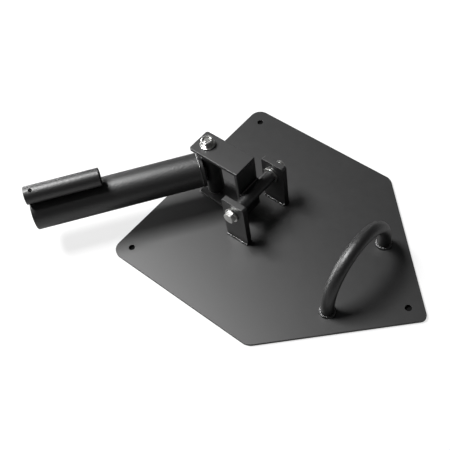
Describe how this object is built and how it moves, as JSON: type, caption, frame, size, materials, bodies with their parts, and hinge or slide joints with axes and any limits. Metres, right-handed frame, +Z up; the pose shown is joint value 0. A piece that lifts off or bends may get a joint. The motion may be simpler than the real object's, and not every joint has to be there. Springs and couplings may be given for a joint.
{
  "type": "t-bar row attachment",
  "caption": "Floor plate with a tilting, swivelling yoke that holds the end of a barbell for t-bar rows and landmine lifts, with a small side sleeve and a carrying handle.",
  "frame": {"origin": "on the underside of the base plate, straight below the pivot axis and midway between the lugs", "axes": "+Z up; +Y towards the nose of the plate and its handle, so the bar side is -Y; +X to the right seen from the bar side"},
  "size_m": [0.4696, 0.6277, 0.1462],
  "materials": {
    "black_powder_coat": "satin black powder coat with a faint orange-peel texture",
    "coated_weld_bead": "rippled weld bead under the same black powder coat, a little glossier",
    "bright_zinc": "bright zinc-plated steel"
  },
  "bodies": {
    "base": {"base_plate": "black_powder_coat", "pivot_lug_right": "black_powder_coat", "pivot_lug_left": "black_powder_coat", "lug_weld_right_outer": "coated_weld_bead", "lug_weld_right_inner": "coated_weld_bead", "lug_weld_left_outer": "coated_weld_bead", "lug_weld_left_inner": "coated_weld_bead", "handle": "black_powder_coat", "handle_weld_right": "coated_weld_bead", "handle_weld_left": "coated_weld_bead", "pivot_bolt": "bright_zinc", "pivot_nut": "bright_zinc", "pivot_washer_right": "bright_zinc", "pivot_washer_left": "bright_zinc", "pivot_thrust_washer_right": "bright_zinc", "pivot_thrust_washer_left": "bright_zinc"},
    "yoke": {"pivot_tube": "black_powder_coat", "pivot_tube_weld_top": "coated_weld_bead", "pivot_tube_weld_bottom": "coated_weld_bead", "yoke_web": "black_powder_coat", "yoke_top_plate": "black_powder_coat", "yoke_bottom_plate": "black_powder_coat", "yoke_weld_top": "coated_weld_bead", "yoke_weld_bottom": "coated_weld_bead", "swivel_bolt": "bright_zinc", "swivel_nut": "bright_zinc", "swivel_washer": "bright_zinc", "swivel_thrust_washer_top": "bright_zinc", "swivel_thrust_washer_bottom": "bright_zinc"},
    "sleeve": {"swivel_bush": "black_powder_coat", "sleeve_end_plate": "black_powder_coat", "sleeve_end_weld": "coated_weld_bead", "bush_weld_right": "coated_weld_bead", "bush_weld_left": "coated_weld_bead", "bar_sleeve": "black_powder_coat", "small_bar_sleeve": "black_powder_coat", "small_sleeve_weld_right_near": "coated_weld_bead", "small_sleeve_weld_right_far": "coated_weld_bead", "small_sleeve_weld_left_near": "coated_weld_bead", "small_sleeve_weld_left_far": "coated_weld_bead"}
  },
  "joints": [
    {"name": "tilt", "type": "hinge", "parent": "base", "child": "yoke", "pos_m": [0, 0, 0.0729], "axis": [-1, 0, 0], "range_deg": [0, 150]},
    {"name": "swing", "type": "hinge", "parent": "yoke", "child": "sleeve", "pos_m": [0, -0.0912, 0.0729], "axis": [0, 0, 1], "range_deg": [-153.7, 46.3]}
  ]
}
